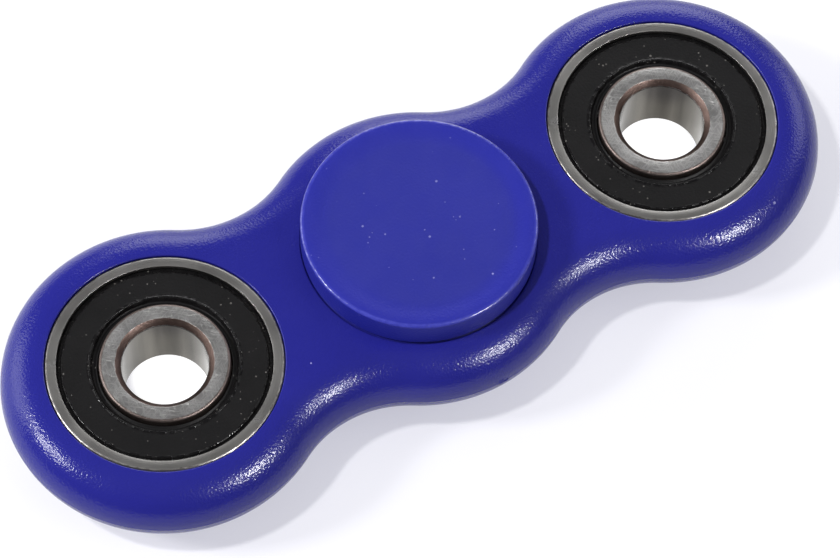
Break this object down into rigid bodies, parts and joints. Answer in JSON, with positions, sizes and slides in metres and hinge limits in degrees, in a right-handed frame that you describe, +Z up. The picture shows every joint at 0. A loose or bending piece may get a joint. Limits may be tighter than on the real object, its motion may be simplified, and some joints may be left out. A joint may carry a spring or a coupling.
{
  "type": "fidget spinner",
  "caption": "Two-lobed hand spinner: a rounded plastic bar with exposed ball bearings in its ends, turning between two dished finger caps.",
  "frame": {"origin": "on the spin axis, at the face of the lower finger cap that it rests on", "axes": "+Z up along the spin axis, +X along the row of bearings"},
  "size_m": [0.0836, 0.0304, 0.0136],
  "materials": {
    "blue_plastic": "moulded, fine spark-eroded texture",
    "cap_plastic": "moulded, smooth satin",
    "ring_steel": "ground faces, honed bore",
    "ball_steel": "lapped mirror",
    "cage_steel": "pressed strip, tumbled",
    "rivet_steel": "headed, bright",
    "seal_rubber": "matt moulded, lightly dusty",
    "core_steel": "stamped washer"
  },
  "bodies": {
    "caps": {"top_cap": "cap_plastic", "bottom_cap": "cap_plastic", "centre_inner_ring": "ring_steel"},
    "spinner": {"body": "blue_plastic", "left_outer_ring": "ring_steel", "left_upper_seal": "seal_rubber", "left_lower_seal": "seal_rubber", "left_upper_seal_core": "core_steel", "left_lower_seal_core": "core_steel", "centre_outer_ring": "ring_steel", "centre_upper_seal": "seal_rubber", "centre_lower_seal": "seal_rubber", "centre_upper_seal_core": "core_steel", "centre_lower_seal_core": "core_steel", "right_outer_ring": "ring_steel", "right_upper_seal": "seal_rubber", "right_lower_seal": "seal_rubber", "right_upper_seal_core": "core_steel", "right_lower_seal_core": "core_steel"},
    "left_cage": {"left_cage_upper": "cage_steel", "left_cage_lower": "cage_steel", "left_cage_rivets": "rivet_steel"},
    "left_ring": {"left_inner_ring": "ring_steel"},
    "left_ball_1": {"left_ball_1": "ball_steel"},
    "left_ball_2": {"left_ball_2": "ball_steel"},
    "left_ball_3": {"left_ball_3": "ball_steel"},
    "left_ball_4": {"left_ball_4": "ball_steel"},
    "left_ball_5": {"left_ball_5": "ball_steel"},
    "left_ball_6": {"left_ball_6": "ball_steel"},
    "left_ball_7": {"left_ball_7": "ball_steel"},
    "centre_cage": {"centre_cage_upper": "cage_steel", "centre_cage_lower": "cage_steel", "centre_cage_rivets": "rivet_steel"},
    "centre_ball_1": {"centre_ball_1": "ball_steel"},
    "centre_ball_2": {"centre_ball_2": "ball_steel"},
    "centre_ball_3": {"centre_ball_3": "ball_steel"},
    "centre_ball_4": {"centre_ball_4": "ball_steel"},
    "centre_ball_5": {"centre_ball_5": "ball_steel"},
    "centre_ball_6": {"centre_ball_6": "ball_steel"},
    "centre_ball_7": {"centre_ball_7": "ball_steel"},
    "right_cage": {"right_cage_upper": "cage_steel", "right_cage_lower": "cage_steel", "right_cage_rivets": "rivet_steel"},
    "right_ring": {"right_inner_ring": "ring_steel"},
    "right_ball_1": {"right_ball_1": "ball_steel"},
    "right_ball_2": {"right_ball_2": "ball_steel"},
    "right_ball_3": {"right_ball_3": "ball_steel"},
    "right_ball_4": {"right_ball_4": "ball_steel"},
    "right_ball_5": {"right_ball_5": "ball_steel"},
    "right_ball_6": {"right_ball_6": "ball_steel"},
    "right_ball_7": {"right_ball_7": "ball_steel"}
  },
  "joints": [
    {"name": "spin", "type": "hinge", "parent": "caps", "child": "spinner", "pos_m": [0, 0, 0.0068], "axis": [0, 0, 1], "continuous": true},
    {"name": "left_ring_spin", "type": "hinge", "parent": "spinner", "child": "left_ring", "pos_m": [-0.02657, 0, 0.0068], "axis": [0, 0, 1], "continuous": true},
    {"name": "right_ring_spin", "type": "hinge", "parent": "spinner", "child": "right_ring", "pos_m": [0.02657, 0, 0.0068], "axis": [0, 0, 1], "continuous": true},
    {"name": "left_cage_spin", "type": "hinge", "parent": "spinner", "child": "left_cage", "pos_m": [-0.02657, 0, 0.0068], "axis": [0, 0, 1], "continuous": true},
    {"name": "left_ball_1_spin", "type": "hinge", "parent": "left_cage", "child": "left_ball_1", "pos_m": [-0.02657, 0.0075, 0.0068], "axis": [0, 0, 1], "continuous": true},
    {"name": "left_ball_2_spin", "type": "hinge", "parent": "left_cage", "child": "left_ball_2", "pos_m": [-0.03243, 0.00468, 0.0068], "axis": [0, 0, 1], "continuous": true},
    {"name": "left_ball_3_spin", "type": "hinge", "parent": "left_cage", "child": "left_ball_3", "pos_m": [-0.03388, -0.00167, 0.0068], "axis": [0, 0, 1], "continuous": true},
    {"name": "left_ball_4_spin", "type": "hinge", "parent": "left_cage", "child": "left_ball_4", "pos_m": [-0.02982, -0.00676, 0.0068], "axis": [0, 0, 1], "continuous": true},
    {"name": "left_ball_5_spin", "type": "hinge", "parent": "left_cage", "child": "left_ball_5", "pos_m": [-0.02332, -0.00676, 0.0068], "axis": [0, 0, 1], "continuous": true},
    {"name": "left_ball_6_spin", "type": "hinge", "parent": "left_cage", "child": "left_ball_6", "pos_m": [-0.01926, -0.00167, 0.0068], "axis": [0, 0, 1], "continuous": true},
    {"name": "left_ball_7_spin", "type": "hinge", "parent": "left_cage", "child": "left_ball_7", "pos_m": [-0.02071, 0.00468, 0.0068], "axis": [0, 0, 1], "continuous": true},
    {"name": "centre_cage_spin", "type": "hinge", "parent": "caps", "child": "centre_cage", "pos_m": [0, 0, 0.0068], "axis": [0, 0, 1], "continuous": true},
    {"name": "centre_ball_1_spin", "type": "hinge", "parent": "centre_cage", "child": "centre_ball_1", "pos_m": [0, 0.0075, 0.0068], "axis": [0, 0, 1], "continuous": true},
    {"name": "centre_ball_2_spin", "type": "hinge", "parent": "centre_cage", "child": "centre_ball_2", "pos_m": [-0.00586, 0.00468, 0.0068], "axis": [0, 0, 1], "continuous": true},
    {"name": "centre_ball_3_spin", "type": "hinge", "parent": "centre_cage", "child": "centre_ball_3", "pos_m": [-0.00731, -0.00167, 0.0068], "axis": [0, 0, 1], "continuous": true},
    {"name": "centre_ball_4_spin", "type": "hinge", "parent": "centre_cage", "child": "centre_ball_4", "pos_m": [-0.00325, -0.00676, 0.0068], "axis": [0, 0, 1], "continuous": true},
    {"name": "centre_ball_5_spin", "type": "hinge", "parent": "centre_cage", "child": "centre_ball_5", "pos_m": [0.00325, -0.00676, 0.0068], "axis": [0, 0, 1], "continuous": true},
    {"name": "centre_ball_6_spin", "type": "hinge", "parent": "centre_cage", "child": "centre_ball_6", "pos_m": [0.00731, -0.00167, 0.0068], "axis": [0, 0, 1], "continuous": true},
    {"name": "centre_ball_7_spin", "type": "hinge", "parent": "centre_cage", "child": "centre_ball_7", "pos_m": [0.00586, 0.00468, 0.0068], "axis": [0, 0, 1], "continuous": true},
    {"name": "right_cage_spin", "type": "hinge", "parent": "spinner", "child": "right_cage", "pos_m": [0.02657, 0, 0.0068], "axis": [0, 0, 1], "continuous": true},
    {"name": "right_ball_1_spin", "type": "hinge", "parent": "right_cage", "child": "right_ball_1", "pos_m": [0.02657, 0.0075, 0.0068], "axis": [0, 0, 1], "continuous": true},
    {"name": "right_ball_2_spin", "type": "hinge", "parent": "right_cage", "child": "right_ball_2", "pos_m": [0.02071, 0.00468, 0.0068], "axis": [0, 0, 1], "continuous": true},
    {"name": "right_ball_3_spin", "type": "hinge", "parent": "right_cage", "child": "right_ball_3", "pos_m": [0.01926, -0.00167, 0.0068], "axis": [0, 0, 1], "continuous": true},
    {"name": "right_ball_4_spin", "type": "hinge", "parent": "right_cage", "child": "right_ball_4", "pos_m": [0.02332, -0.00676, 0.0068], "axis": [0, 0, 1], "continuous": true},
    {"name": "right_ball_5_spin", "type": "hinge", "parent": "right_cage", "child": "right_ball_5", "pos_m": [0.02982, -0.00676, 0.0068], "axis": [0, 0, 1], "continuous": true},
    {"name": "right_ball_6_spin", "type": "hinge", "parent": "right_cage", "child": "right_ball_6", "pos_m": [0.03388, -0.00167, 0.0068], "axis": [0, 0, 1], "continuous": true},
    {"name": "right_ball_7_spin", "type": "hinge", "parent": "right_cage", "child": "right_ball_7", "pos_m": [0.03243, 0.00468, 0.0068], "axis": [0, 0, 1], "continuous": true}
  ],
  "couplings": [
    {"joint": "left_cage_spin", "follows": "left_ring_spin", "ratio": 0.3677},
    {"joint": "left_ball_1_spin", "follows": "left_ring_spin", "ratio": -1.7573},
    {"joint": "left_ball_2_spin", "follows": "left_ring_spin", "ratio": -1.7573},
    {"joint": "left_ball_3_spin", "follows": "left_ring_spin", "ratio": -1.7573},
    {"joint": "left_ball_4_spin", "follows": "left_ring_spin", "ratio": -1.7573},
    {"joint": "left_ball_5_spin", "follows": "left_ring_spin", "ratio": -1.7573},
    {"joint": "left_ball_6_spin", "follows": "left_ring_spin", "ratio": -1.7573},
    {"joint": "left_ball_7_spin", "follows": "left_ring_spin", "ratio": -1.7573},
    {"joint": "centre_cage_spin", "follows": "spin", "ratio": 0.6323},
    {"joint": "centre_ball_1_spin", "follows": "spin", "ratio": 1.7573},
    {"joint": "centre_ball_2_spin", "follows": "spin", "ratio": 1.7573},
    {"joint": "centre_ball_3_spin", "follows": "spin", "ratio": 1.7573},
    {"joint": "centre_ball_4_spin", "follows": "spin", "ratio": 1.7573},
    {"joint": "centre_ball_5_spin", "follows": "spin", "ratio": 1.7573},
    {"joint": "centre_ball_6_spin", "follows": "spin", "ratio": 1.7573},
    {"joint": "centre_ball_7_spin", "follows": "spin", "ratio": 1.7573},
    {"joint": "right_cage_spin", "follows": "right_ring_spin", "ratio": 0.3677},
    {"joint": "right_ball_1_spin", "follows": "right_ring_spin", "ratio": -1.7573},
    {"joint": "right_ball_2_spin", "follows": "right_ring_spin", "ratio": -1.7573},
    {"joint": "right_ball_3_spin", "follows": "right_ring_spin", "ratio": -1.7573},
    {"joint": "right_ball_4_spin", "follows": "right_ring_spin", "ratio": -1.7573},
    {"joint": "right_ball_5_spin", "follows": "right_ring_spin", "ratio": -1.7573},
    {"joint": "right_ball_6_spin", "follows": "right_ring_spin", "ratio": -1.7573},
    {"joint": "right_ball_7_spin", "follows": "right_ring_spin", "ratio": -1.7573}
  ]
}
